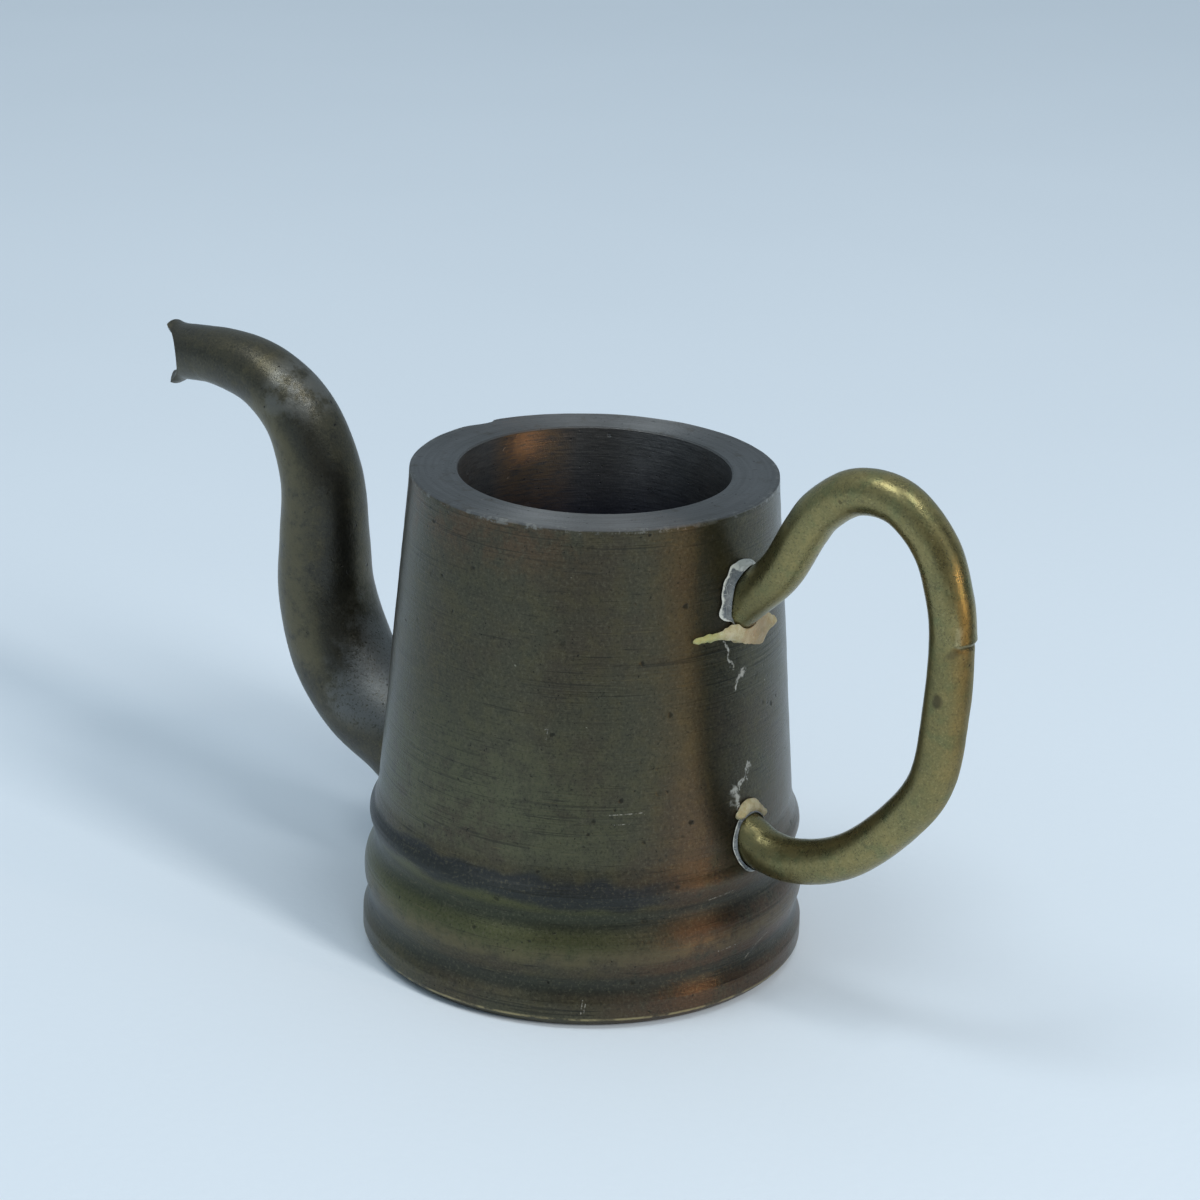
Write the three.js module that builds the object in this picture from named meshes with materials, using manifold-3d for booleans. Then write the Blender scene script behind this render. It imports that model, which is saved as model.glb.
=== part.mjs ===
// A miniature oil can in solid brass: a turned cup with a blind bore, a bent tapering spout soldered into a
// cross hole, and a D-shaped handle of bent rod glued into two shallow sockets.
// Millimetres, +Z up. The origin is the centre of the underside, the handle is at +X and the spout at -X.
import * as THREE from "three";
import { mergeVertices } from "three/addons/utils/BufferGeometryUtils.js";
import Module from "manifold-3d";

const wasm = await Module();
wasm.setup();

// ---- Driving dimensions ----

const bodyHeight = 27.7;
const footDiameter = 25;
const rimDiameter = 20.2;
const boreDiameter = 15;
const floorThickness = 3;

const footChamfer = 0.5;
const footBand = 1.5; // height of the plain band above the underside
const mouldingTop = 9.05; // where the mouldings meet the tapered wall
const mouldingStep = 0.8; // how far the tapered wall starts inside the foot's radius

const rodDiameter = 2.5;
const upperJointHeight = bodyHeight - 5; // the handle's upper end, measured down from the rim
const lowerJointHeight = mouldingTop + 0.25; // its lower end, just above the mouldings
const socketFloor = 0.35; // wall left between the bore and the corner of a rod end in its socket

const spoutRootDiameter = 6.2;
const spoutTipDiameter = 3.36;
const spoutWall = 0.55;
const spoutRootHeight = 7.4;
const spoutTipHeight = bodyHeight - 0.15;
const taperStart = 8.6; // length of the spout, from the cup's wall, before it starts to taper
const taperLength = 22.5;
const spigotDiameter = 4.6;
const lipFlare = 0.2; // how far the lips turn out at the tip
const lipLength = 1.2;
const mouthPinch = 0.25; // share of its width that the mouth loses, squeezed from the sides
const pinchLength = 4;
const scoopDepth = 1.6; // how far the sides of the mouth are cut back behind the lips
const lipThickness = 0.25;

const holeClearance = 0.1; // all round a rod end or a spigot in its hole, and past its end
const surfaceGap = 0.08; // between a deposit of glue or solder and what it sits on
const solderWidth = 0.8;
const solderProud = 0.7;
const ringProud = 0.45;
const flapProud = 0.55;
const lumpProud = 0.75;

const bodySides = 60;
const tubeSides = 16;
const tubeStep = 1.3; // length of one facet along a tube
const ellipseSides = 36;

const footRadius = footDiameter / 2;
const rimRadius = rimDiameter / 2;
const boreRadius = boreDiameter / 2;
const rodRadius = rodDiameter / 2;
const spigotRadius = spigotDiameter / 2;

// Radius of the straight tapered wall at a height; it also holds as a reference line above the rim.
function wallRadius(z) {
  const share = (z - mouldingTop) / (bodyHeight - mouldingTop);
  return THREE.MathUtils.lerp(footRadius - mouldingStep, rimRadius, share);
}

// ---- Solids ----

function solidFrom(geometry) {
  geometry.deleteAttribute("normal");
  geometry.deleteAttribute("uv");
  const merged = mergeVertices(geometry, 1e-5);
  const index = merged.index.array;
  const triangles = [];
  for (let i = 0; i < index.length; i += 3) {
    const [a, b, c] = [index[i], index[i + 1], index[i + 2]];
    if (a !== b && b !== c && c !== a) triangles.push(a, b, c);
  }
  return new wasm.Manifold(
    new wasm.Mesh({
      numProp: 3,
      vertProperties: new Float32Array(merged.attributes.position.array),
      triVerts: new Uint32Array(triangles),
    }),
  );
}

function geometryFrom(solid) {
  const mesh = solid.getMesh();
  const geometry = new THREE.BufferGeometry();
  geometry.setAttribute("position", new THREE.BufferAttribute(mesh.vertProperties, 3));
  geometry.setIndex(new THREE.BufferAttribute(mesh.triVerts, 1));
  geometry.computeVertexNormals();
  return geometry;
}

// A solid of revolution about Z. The profile is [radius, height] pairs, from the axis round and back to it.
function turned(profile) {
  const points = profile.map(([radius, height]) => new THREE.Vector2(radius, height));
  return solidFrom(new THREE.LatheGeometry(points, bodySides).rotateX(Math.PI / 2));
}

// A smooth line in the XZ plane, measured along its length, that runs on straight past both of its ends.
function centreline(points) {
  const vectors = points.map(([x, z]) => new THREE.Vector3(x, 0, z));
  const curve = new THREE.CatmullRomCurve3(vectors, false, "centripetal");
  curve.arcLengthDivisions = 600;
  const length = curve.getLength();
  const at = (distance) => {
    const inside = THREE.MathUtils.clamp(distance, 0, length);
    const tangent = curve.getTangentAt(inside / length);
    const point = curve.getPointAt(inside / length).addScaledVector(tangent, distance - inside);
    return { point, tangent };
  };
  return { length, at };
}

// A bar along a centreline from one distance to another, with flat ends. radiusAt gives its radius, and
// widthAt half its width across the plane of the line where it isn't round.
function bar(line, from, to, radiusAt, widthAt = radiusAt) {
  const steps = Math.ceil((to - from) / tubeStep);
  const across = new THREE.Vector3(0, 1, 0);
  const positions = [];
  const index = [];
  for (let i = 0; i <= steps; i += 1) {
    const distance = from + ((to - from) * i) / steps;
    const { point, tangent } = line.at(distance);
    const side = new THREE.Vector3().crossVectors(across, tangent);
    const [radius, width] = [radiusAt(distance), widthAt(distance)];
    for (let j = 0; j < tubeSides; j += 1) {
      const angle = (2 * Math.PI * j) / tubeSides;
      const corner = point.clone().addScaledVector(side, radius * Math.cos(angle));
      positions.push(...corner.addScaledVector(across, width * Math.sin(angle)).toArray());
    }
  }
  const last = steps * tubeSides;
  const ends = positions.length / 3;
  positions.push(...line.at(from).point.toArray(), ...line.at(to).point.toArray());
  for (let j = 0; j < tubeSides; j += 1) {
    const next = (j + 1) % tubeSides;
    for (let ring = 0; ring < last; ring += tubeSides) {
      index.push(ring + j, ring + next, ring + tubeSides + next);
      index.push(ring + j, ring + tubeSides + next, ring + tubeSides + j);
    }
    index.push(ends, next, j);
    index.push(ends + 1, last + j, last + next);
  }
  const geometry = new THREE.BufferGeometry();
  geometry.setAttribute("position", new THREE.Float32BufferAttribute(positions, 3));
  geometry.setIndex(index);
  return solidFrom(geometry);
}

// A prism along X whose outline is given by [y, z] pairs.
function prism(outline, fromX, toX) {
  const shape = new THREE.Shape(outline.map(([y, z]) => new THREE.Vector2(y, z)));
  const geometry = new THREE.ExtrudeGeometry(shape, { depth: toX - fromX, bevelEnabled: false, steps: 1 });
  const turn = new THREE.Matrix4().makeBasis(
    new THREE.Vector3(0, 1, 0),
    new THREE.Vector3(0, 0, 1),
    new THREE.Vector3(1, 0, 0),
  );
  return solidFrom(geometry.applyMatrix4(turn).translate(fromX, 0, 0));
}

function ellipse(centre, halfWidth, halfHeight) {
  return Array.from({ length: ellipseSides }, (_, i) => {
    const angle = (2 * Math.PI * i) / ellipseSides;
    return [centre[0] + halfWidth * Math.cos(angle), centre[1] + halfHeight * Math.sin(angle)];
  });
}

// ---- The cup's outside ----

// The turned outline from the foot to the rim, grown outwards by a margin.
function outsideProfile(margin) {
  // Height, and depth below the foot's radius, down the two beads and the two grooves between them.
  const mouldings = new THREE.SplineCurve(
    [
      [footBand, 0],
      [2.45, 0.34],
      [3.8, 0.04],
      [4.9, 0.14],
      [6.1, 0.66],
      [7.5, 0.3],
      [8.3, 0.6],
      [mouldingTop, mouldingStep],
    ].map(([height, depth]) => new THREE.Vector2(footRadius - depth, height)),
  ).getPoints(14);
  return [
    [footRadius - footChamfer, 0],
    [footRadius, footChamfer],
    ...mouldings.map((point) => [point.x, point.y]),
    [rimRadius, bodyHeight],
  ].map(([radius, height]) => [radius + margin, height]);
}

function cupOutside(margin) {
  return turned([[0, 0], ...outsideProfile(margin), [0, bodyHeight]]);
}

// ---- The handle's and the spout's centrelines ----

// Adds a straight end inside the cup's wall to a list of points, in line with its first two. It is as deep as
// the wall allows where the rod comes in on a slant.
function addSocketedEnd([first, second, ...rest]) {
  const run = Math.hypot(second[0] - first[0], second[1] - first[1]);
  const [inward, slant] = [(second[0] - first[0]) / run, (second[1] - first[1]) / run];
  const wall = wallRadius(first[1]) - boreRadius;
  const depth = (wall - socketFloor - rodRadius * Math.abs(slant)) / inward;
  return [[first[0] - inward * depth, first[1] - slant * depth], first, second, ...rest];
}

function handleCentreline() {
  // How far each point stands out from the wall's line, and its height as a share of the way between the
  // joints.
  const points = [
    [0, 1],
    [2.4, 1.17],
    [4.15, 1.37],
    [5.15, 1.465],
    [7.5, 1.58],
    [10.1, 1.583],
    [12.2, 1.45],
    [13, 1.285],
    [13.25, 1.13],
    [12.8, 0.81],
    [11.85, 0.5],
    [9.95, 0.3],
    [6.25, 0.06],
    [2.85, -0.035],
    [0.9, -0.03],
    [0, 0],
  ].map(([reach, share]) => {
    const z = THREE.MathUtils.lerp(lowerJointHeight, upperJointHeight, share);
    return [wallRadius(z) + reach, z];
  });
  return centreline(addSocketedEnd(addSocketedEnd(points).reverse()).reverse());
}

function spoutCentreline() {
  const points = [
    [0, 0],
    [2, 0.045],
    [5, 0.11],
    [7.4, 0.225],
    [9.1, 0.4],
    [9.5, 0.55],
    [10.1, 0.745],
    [12.05, 0.91],
    [15.1, 1],
    [18.5, 1.023],
    [22.75, 1.003],
  ].map(([reach, share]) => {
    const z = THREE.MathUtils.lerp(spoutRootHeight, spoutTipHeight, share);
    return [-wallRadius(z) - reach, z];
  });
  return centreline([[-boreRadius - surfaceGap, spoutRootHeight], ...points]);
}

const handleLine = handleCentreline();
const spoutLine = spoutCentreline();
// Length of the spout's line that is inside the cup's wall.
const spoutInWall = wallRadius(spoutRootHeight) - boreRadius;
const spoutMouth = spoutLine.length;

function spoutRadius(distance) {
  const tapered = THREE.MathUtils.clamp((distance - spoutInWall - taperStart) / taperLength, 0, 1);
  const flared = Math.max(0, 1 - (spoutMouth - distance) / lipLength);
  return THREE.MathUtils.lerp(spoutRootDiameter, spoutTipDiameter, tapered) / 2 + lipFlare * flared ** 2;
}

// Half the spout's width across the plane of its bends.
function spoutHalfWidth(distance) {
  const pinched = Math.max(0, 1 - (spoutMouth - distance) / pinchLength);
  return spoutRadius(distance) * (1 - mouthPinch * pinched ** 2);
}

// ---- The pieces ----

function makeBody() {
  const cup = turned([
    [0, 0],
    ...outsideProfile(0),
    [boreRadius, bodyHeight],
    [boreRadius, floorThickness],
    [0, floorThickness],
  ]);
  const end = handleLine.length + holeClearance;
  const sockets = bar(handleLine, -holeClearance, end, () => rodRadius + holeClearance);
  const crossHole = bar(spoutLine, -2, spoutInWall + 2, () => spigotRadius + holeClearance);
  return cup.subtract(sockets).subtract(crossHole);
}

function makeSpout() {
  const tube = bar(spoutLine, 1, spoutMouth, spoutRadius, spoutHalfWidth).subtract(cupOutside(surfaceGap));
  const spigot = bar(spoutLine, 0, spoutInWall + 1, () => spigotRadius);
  const inside = (outside) => (distance) => {
    return (distance < spoutInWall + 1 ? spigotRadius : outside(distance)) - spoutWall;
  };
  const bore = bar(spoutLine, -1, spoutMouth + 1, inside(spoutRadius), inside(spoutHalfWidth));
  // The mouth is scooped by a cylinder across it, so that its top and bottom lips stand forward of its sides.
  const halfMouth = spoutRadius(spoutMouth) - lipThickness;
  const scoopRadius = (halfMouth ** 2 + scoopDepth ** 2) / (2 * scoopDepth);
  const centre = spoutLine.at(spoutMouth - scoopDepth + scoopRadius).point;
  const cylinder = new THREE.CylinderGeometry(scoopRadius, scoopRadius, 4 * halfMouth, 48);
  const scoop = solidFrom(cylinder.translate(centre.x, 0, centre.z));
  return tube.add(spigot).subtract(bore).subtract(scoop);
}

// A thin skin of solder or glue over the cup's wall, inside a cutter's outline.
function skin(cutter, proud) {
  return cutter.intersect(cupOutside(surfaceGap + proud)).subtract(cupOutside(surfaceGap));
}

function makeSpoutSolder() {
  const root = bar(spoutLine, 1, spoutInWall + 4, (distance) => spoutRadius(distance) + solderWidth);
  const clearSpout = bar(spoutLine, 0, spoutInWall + 5, (distance) => spoutRadius(distance) + surfaceGap);
  return skin(root, solderProud).subtract(clearSpout);
}

function makeHandle() {
  return bar(handleLine, 0, handleLine.length, () => rodRadius);
}

const clearHandle = () => bar(handleLine, 0, handleLine.length, () => rodRadius + surfaceGap);
const glueOutline = (outline) => prism(outline, boreRadius, 2 * footRadius);

// The two rings of clear glue are wider on the side they were run in from.
function upperRingOutline(margin) {
  const centre = [-0.25, upperJointHeight + 0.5];
  return ellipse(centre, rodRadius + 0.7 + margin, rodRadius + 0.55 + margin);
}

function lowerRingOutline(margin) {
  const centre = [-0.25, lowerJointHeight + 0.15];
  return ellipse(centre, rodRadius + 0.5 + margin, rodRadius + 0.3 + margin);
}

function makeUpperGlueRing() {
  return skin(glueOutline(upperRingOutline(0)), ringProud).subtract(clearHandle());
}

function makeUpperGlueFlap() {
  // Across, and up from the level of the rod's underside.
  const outline = [
    [-3.9, -0.1],
    [-3.2, -0.25],
    [-2.3, -0.15],
    [-1.1, -0.45],
    [-0.2, -0.75],
    [0.8, -1.15],
    [1.4, -1.15],
    [2.1, -0.85],
    [2.6, -0.35],
    [1.6, 0.35],
    [-1.8, 0.45],
    [-2.5, 0.25],
    [-3.4, 0.25],
  ].map(([y, rise]) => [y, upperJointHeight - rodRadius + rise]);
  return skin(glueOutline(outline), flapProud)
    .subtract(glueOutline(upperRingOutline(surfaceGap)))
    .subtract(clearHandle());
}

function makeLowerGlueRing() {
  return skin(glueOutline(lowerRingOutline(0)), ringProud).subtract(clearHandle());
}

function makeLowerGlueLump() {
  // Across, and up from the level of the rod's top.
  const outline = [
    [-1.6, 0.05],
    [1.6, -0.35],
    [1.1, 0.35],
    [0.7, 0.85],
    [0.2, 1.1],
    [-0.4, 1.15],
    [-1, 0.9],
  ].map(([y, rise]) => [y, lowerJointHeight + rodRadius + rise]);
  return skin(glueOutline(outline), lumpProud)
    .subtract(glueOutline(lowerRingOutline(surfaceGap)))
    .subtract(clearHandle());
}

// ---- The assembly ----

const brown = new THREE.MeshStandardMaterial({ color: 0x4b4634, roughness: 0.38, metalness: 1 });
const olive = new THREE.MeshStandardMaterial({ color: 0x77703f, roughness: 0.42, metalness: 1 });
const solder = new THREE.MeshStandardMaterial({ color: 0x6b6c68, roughness: 0.55, metalness: 1 });
const clearGlue = new THREE.MeshStandardMaterial({ color: 0xa9b0ae, roughness: 0.3, metalness: 0 });
const creamGlue = new THREE.MeshStandardMaterial({ color: 0xc9bd8f, roughness: 0.6, metalness: 0 });

const can = new THREE.Group();

function addPiece(name, solid, material) {
  const mesh = new THREE.Mesh(geometryFrom(solid), material.clone());
  mesh.name = name;
  can.add(mesh);
}

addPiece("body", makeBody(), brown);
addPiece("spout", makeSpout(), brown);
addPiece("spout_solder", makeSpoutSolder(), solder);
addPiece("handle", makeHandle(), olive);
addPiece("upper_glue_ring", makeUpperGlueRing(), clearGlue);
addPiece("upper_glue_flap", makeUpperGlueFlap(), creamGlue);
addPiece("lower_glue_ring", makeLowerGlueRing(), clearGlue);
addPiece("lower_glue_lump", makeLowerGlueLump(), creamGlue);

export default can;
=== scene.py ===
import math

import bpy
import numpy as np
from mathutils import Matrix, Vector
from mathutils.geometry import delaunay_2d_cdt


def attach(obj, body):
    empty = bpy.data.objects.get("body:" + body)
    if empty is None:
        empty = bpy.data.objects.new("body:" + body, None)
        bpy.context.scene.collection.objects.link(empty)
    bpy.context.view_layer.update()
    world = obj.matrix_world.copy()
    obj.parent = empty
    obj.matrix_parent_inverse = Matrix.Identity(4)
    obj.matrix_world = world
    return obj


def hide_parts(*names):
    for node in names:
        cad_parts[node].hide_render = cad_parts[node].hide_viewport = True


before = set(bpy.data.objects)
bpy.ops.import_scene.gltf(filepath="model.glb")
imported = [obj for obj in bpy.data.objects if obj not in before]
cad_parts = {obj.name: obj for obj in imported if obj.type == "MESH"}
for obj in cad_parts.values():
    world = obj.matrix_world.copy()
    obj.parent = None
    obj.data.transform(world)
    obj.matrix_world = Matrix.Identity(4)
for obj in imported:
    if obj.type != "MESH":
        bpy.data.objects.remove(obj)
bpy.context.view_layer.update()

# A miniature brass oil can: turned cup, bent spout soldered on, bent rod handle glued on.
# Shapes are worked out in millimetres in the CAD frame and scaled to metres when a mesh is made.
MM = 0.001

# ---- Camera ----


def direction(azimuth, elevation=0.0):
    """The unit vector at an azimuth, counted from +x, and an elevation, both in degrees."""
    a, e = math.radians(azimuth), math.radians(elevation)
    return Vector((math.cos(a) * math.cos(e), math.sin(a) * math.cos(e), math.sin(e)))


def add_object(name, data):
    item = bpy.data.objects.new(name, data)
    bpy.context.scene.collection.objects.link(item)
    return item


def add_camera():
    azimuth, elevation = -51.0, 22.21
    pan, tilt, roll = math.radians(-0.1605), math.radians(1.5585), math.radians(1.7)
    distance, aim_height = 181.7, 14.76
    back = direction(azimuth, elevation)
    right = direction(azimuth + 90.0)
    up = right.cross(-back)
    x = right * math.cos(pan) - back * math.sin(pan)
    z = -right * math.sin(pan) - back * math.cos(pan)
    y = up * math.cos(tilt) - z * math.sin(tilt)
    ahead = up * math.sin(tilt) + z * math.cos(tilt)
    side = x * math.cos(roll) + y * math.sin(roll)
    top = y * math.cos(roll) - x * math.sin(roll)
    data = bpy.data.cameras.new("Camera")
    data.lens, data.sensor_width = 97.47, 36.0
    data.clip_start, data.clip_end = 0.005, 20.0
    camera = add_object("Camera", data)
    place = Matrix((side, top, -ahead)).transposed().to_4x4()
    place.translation = Vector((0, 0, aim_height * MM)) + back * distance * MM
    camera.matrix_world = place
    bpy.context.scene.camera = camera


add_camera()

# ---- Small tools ----


def smooth(value, low, high):
    t = np.clip((np.asarray(value, float) - low) / (high - low), 0.0, 1.0)
    return t * t * (3.0 - 2.0 * t)


def lattice(points, seed):
    """Smooth noise from -1 to 1 at an (..., 3) array of points."""
    cell = np.floor(points).astype(np.int64)
    part = points - cell
    part = part * part * (3.0 - 2.0 * part)
    total = 0.0
    for corner in range(8):
        step = np.array([corner & 1, corner >> 1 & 1, corner >> 2 & 1])
        key = (cell + step) * np.array([73856093, 19349663, 83492791])
        key = (key[..., 0] ^ key[..., 1] ^ key[..., 2] ^ (seed * 2654435761)) & 0xFFFFFFFF
        key = ((key ^ (key >> 15)) * 2246822519) & 0xFFFFFFFF
        key = ((key ^ (key >> 13)) * 3266489917) & 0xFFFFFFFF
        value = ((key ^ (key >> 16)) & 0xFFFF) / 32767.5 - 1.0
        weight = np.prod(np.where(step == 1, part, 1.0 - part), axis=-1)
        total = total + weight * value
    return total


def ripple(points, scale, seed, octaves=3):
    total, size = 0.0, 1.0
    for octave in range(octaves):
        total = total + size * lattice(points * scale * 2.0**octave, seed + octave)
        size *= 0.5
    return total


def shade(mesh, sharp):
    mesh.polygons.foreach_set("use_smooth", [True] * len(mesh.polygons))
    mesh.set_sharp_from_angle(angle=math.radians(sharp))


def make_piece(name, verts, faces, material, node, slot, sharp=40.0):
    """A mesh object from points in millimetres. A cutter has no node and isn't a piece of the object."""
    mesh = bpy.data.meshes.new(name)
    mesh.from_pydata((np.asarray(verts) * MM).tolist(), [], faces)
    mesh.validate()
    mesh.update()
    mesh.materials.append(material)
    shade(mesh, sharp)
    piece = add_object(name, mesh)
    if node:
        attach(piece, "root")
        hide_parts(node)
    return piece


def grid_faces(rows, columns, close_rows=False):
    faces = []
    for i in range(rows if close_rows else rows - 1):
        a, b = i * columns, (i + 1) % rows * columns
        for j in range(columns):
            k = (j + 1) % columns
            faces.append((a + j, a + k, b + k, b + j))
    return faces


def capped_faces(rows, columns):
    """A grid's faces, and a fan on each end, round two more points that follow the grid's own."""
    faces = grid_faces(rows, columns)
    total, base = rows * columns, (rows - 1) * columns
    for j in range(columns):
        k = (j + 1) % columns
        faces.append((total, k, j))
        faces.append((total + 1, base + j, base + k))
    return faces


def bend(b, c, start, stop, t):
    """The cubic from b to c with these slopes at its ends."""
    return b + start * t + (-3 * b + 3 * c - 2 * start - stop) * t**2 + (2 * b - 2 * c + start + stop) * t**3


def turn_angles(sides):
    return np.linspace(0, 2 * math.pi, sides, endpoint=False)


class Line:
    """A centripetal Catmull-Rom line through [x, z] points, straight past its ends."""

    def __init__(self, points):
        p = np.array(points, float)
        p = np.vstack([2 * p[0] - p[1], p, 2 * p[-1] - p[-2]])
        out = []
        for a, b, c, d in zip(p, p[1:], p[2:], p[3:]):
            u, v, w = (math.sqrt(np.linalg.norm(q)) for q in (b - a, c - b, d - c))
            start = ((b - a) / u - (c - a) / (u + v) + (c - b) / v) * v
            stop = ((c - b) / v - (d - b) / (v + w) + (d - c) / w) * v
            t = np.linspace(0, 1, 80, endpoint=False)[:, None]
            out.append(bend(b, c, start, stop, t))
        self.dense = np.vstack([*out, p[-2:-1]])
        step = np.linalg.norm(np.diff(self.dense, axis=0), axis=1)
        self.run = np.concatenate([[0.0], np.cumsum(step)])
        self.length = self.run[-1]
        self.slope = np.gradient(self.dense, self.run, axis=0)

    def at(self, distance):
        inside = np.clip(distance, 0, self.length)
        columns = (*self.dense.T, *self.slope.T)
        x, z, dx, dz = (np.interp(inside, self.run, column) for column in columns)
        size = np.hypot(dx, dz)
        dx, dz = dx / size, dz / size
        return x + dx * (distance - inside), z + dz * (distance - inside), dx, dz

    def surface(self, distance, angle, radius, width=None):
        """Points around the line. Angle 0 is on top where the line runs towards -x, underneath where it runs
        towards +x."""
        x, z, dx, dz = self.at(distance)
        out = radius * np.cos(angle)
        across = (radius if width is None else width) * np.sin(angle)
        return np.stack([x + dz * out, across + 0 * x, z - dx * out], axis=-1)


# ---- Sizes, as in the CAD ----

foot_radius, rim_radius, bore_radius = 12.5, 10.1, 7.5
height, floor_height, chamfer = 27.7, 3.0, 0.5
moulding_top, moulding_step = 9.05, 0.8
rod_radius, socket_web = 1.25, 0.35
upper_joint, lower_joint = 22.7, 9.3
spigot_radius, spout_wall = 2.3, 0.55
spout_joint, spout_top = 7.4, 27.55
spout_root_radius, spout_tip_radius = 3.1, 1.68
spout_plain, spout_taper = 8.6, 22.5
clearance, gap = 0.1, 0.08


def wall_radius(z):
    share = (z - moulding_top) / (height - moulding_top)
    return (foot_radius - moulding_step) * (1 - share) + rim_radius * share


def moulding_line():
    knots = [
        [1.5, 0], [2.45, 0.34], [3.8, 0.04], [4.9, 0.14], [6.1, 0.66], [7.5, 0.3], [8.3, 0.6],
        [moulding_top, moulding_step],
    ]
    p = np.array([[foot_radius - depth, z] for z, depth in knots])
    p = np.vstack([p[0], p, p[-1]])
    out = []
    for a, b, c, d in zip(p, p[1:], p[2:], p[3:]):
        t = np.linspace(0, 1, 11, endpoint=False)[:, None]
        out.append(bend(b, c, (c - a) / 2, (d - b) / 2, t))
    return np.vstack([*out, p[-1:]])


mouldings = moulding_line()
outline = np.array([[foot_radius - chamfer, 0.0], [foot_radius, chamfer], *mouldings, [rim_radius, height]])
taper = (foot_radius - moulding_step - rim_radius) / (height - moulding_top)


def outside_radius(z):
    above = np.maximum(np.asarray(z, float) - height, 0.0)
    return np.interp(z, outline[:, 1], outline[:, 0]) - above * taper


def with_socket(points):
    """The line's points with its first end carried into the wall, short of the bore by the web."""
    (x, z), (x2, z2) = points[0], points[1]
    run = math.hypot(x2 - x, z2 - z)
    inward, slant = (x2 - x) / run, (z2 - z) / run
    depth = (wall_radius(z) - bore_radius - socket_web - rod_radius * abs(slant)) / inward
    return [[x - inward * depth, z - slant * depth], *points]


def handle_line():
    knots = [
        [0, 1], [2.4, 1.17], [4.15, 1.37], [5.15, 1.465], [7.5, 1.58], [10.1, 1.583], [12.2, 1.45],
        [13, 1.285], [13.25, 1.13], [12.8, 0.81], [11.85, 0.5], [9.95, 0.3], [6.25, 0.06],
        [2.85, -0.035], [0.9, -0.03], [0, 0],
    ]
    points = []
    for reach, share in knots:
        z = lower_joint * (1 - share) + upper_joint * share
        points.append([wall_radius(z) + reach, z])
    return Line(with_socket(with_socket(points)[::-1])[::-1])


def spout_line():
    knots = [
        [0, 0], [2, 0.045], [5, 0.11], [7.4, 0.225], [9.1, 0.4], [9.5, 0.55], [10.1, 0.745],
        [12.05, 0.91], [15.1, 1], [18.5, 1.023], [22.75, 1.003],
    ]
    points = [[-bore_radius - gap, spout_joint]]
    for reach, share in knots:
        z = spout_joint * (1 - share) + spout_top * share
        points.append([-wall_radius(z) - reach, z])
    return Line(points)


handle = handle_line()
spout = spout_line()
spout_in_wall = wall_radius(spout_joint) - bore_radius
mouth = spout.length


def spout_radius(distance):
    tapered = np.clip((distance - spout_in_wall - spout_plain) / spout_taper, 0, 1)
    flared = np.maximum(0, 1 - (mouth - distance) / 1.2)
    return spout_root_radius + (spout_tip_radius - spout_root_radius) * tapered + 0.2 * flared**2


def spout_width(distance):
    pinched = np.maximum(0, 1 - (mouth - distance) / 4)
    return spout_radius(distance) * (1 - 0.25 * pinched**2)


def meets_wall(line, angle, radius, low, high, lift):
    """How far along the line its surface at each angle comes out of the cup's wall, grown by lift."""
    steps = np.linspace(low, high, 500)
    points = line.surface(steps[None, :], angle[:, None], np.reshape(radius, (-1, 1)))
    proud = np.hypot(points[..., 0], points[..., 1]) - outside_radius(points[..., 2]) - lift
    outside = proud > 0
    changes = outside[:, 1:] != outside[:, :-1]
    first = np.argmax(changes, axis=1)
    rows = np.arange(len(angle))
    a, b = proud[rows, first], proud[rows, first + 1]
    return steps[first] + (steps[1] - steps[0]) * a / (a - b)


# ---- Materials ----


class Value:
    """A socket in a sum or a product, which becomes a node."""

    def __init__(self, nodes, socket):
        self.nodes, self.socket = nodes, socket

    def __add__(self, other):
        return self.nodes.math("ADD", self, other)

    def __sub__(self, other):
        return self.nodes.math("SUBTRACT", self, other)

    def __mul__(self, other):
        return self.nodes.math("MULTIPLY", self, other)

    __radd__, __rmul__ = __add__, __mul__


class Nodes:
    """Builds the node tree of a material or a world. What goes in is a socket or a plain value."""

    def __init__(self, owner):
        self.owner = owner
        owner.use_nodes = True
        self.tree = owner.node_tree
        self.tree.nodes.clear()

    def add(self, kind, settings=None, **inputs):
        node = self.tree.nodes.new(kind)
        for key, value in (settings or {}).items():
            setattr(node, key, value)
        for key, value in inputs.items():
            self.put(node.inputs[key.replace("_", " ")], value)
        return node

    def put(self, socket, value):
        if isinstance(value, Value):
            value = value.socket
        if isinstance(value, bpy.types.NodeSocket):
            self.tree.links.new(value, socket)
        elif isinstance(value, tuple) and len(value) == 3 and socket.type == "RGBA":
            socket.default_value = (*value, 1.0)
        else:
            socket.default_value = value

    def math(self, operation, *values):
        node = self.add("ShaderNodeMath", {"operation": operation})
        for socket, value in zip(node.inputs, values):
            self.put(socket, value)
        return Value(self, node.outputs[0])

    def vector(self, operation, first, second):
        node = self.add("ShaderNodeVectorMath", {"operation": operation})
        self.put(node.inputs[0], first)
        self.put(node.inputs[1], second)
        return node.outputs[0]

    def stretch(self, vector, scale):
        return self.vector("MULTIPLY", vector, scale)

    def step(self, value, low, high):
        """Smoothly from 0 to 1 as value goes from low to high."""
        settings = {"interpolation_type": "SMOOTHSTEP"}
        node = self.add("ShaderNodeMapRange", settings, Value=value)
        self.put(node.inputs[1], low)
        self.put(node.inputs[2], high)
        return Value(self, node.outputs[0])

    def window(self, value, a, b, c, d):
        """Up from 0 to 1 between a and b, and down to 0 again between c and d."""
        return self.step(value, a, b) * self.step(value, d, c)

    def mix(self, share, first, second):
        node = self.add("ShaderNodeMix", {"data_type": "RGBA"})
        self.put(node.inputs[0], share)
        self.put(node.inputs[6], first)
        self.put(node.inputs[7], second)
        return node.outputs[2]


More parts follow.
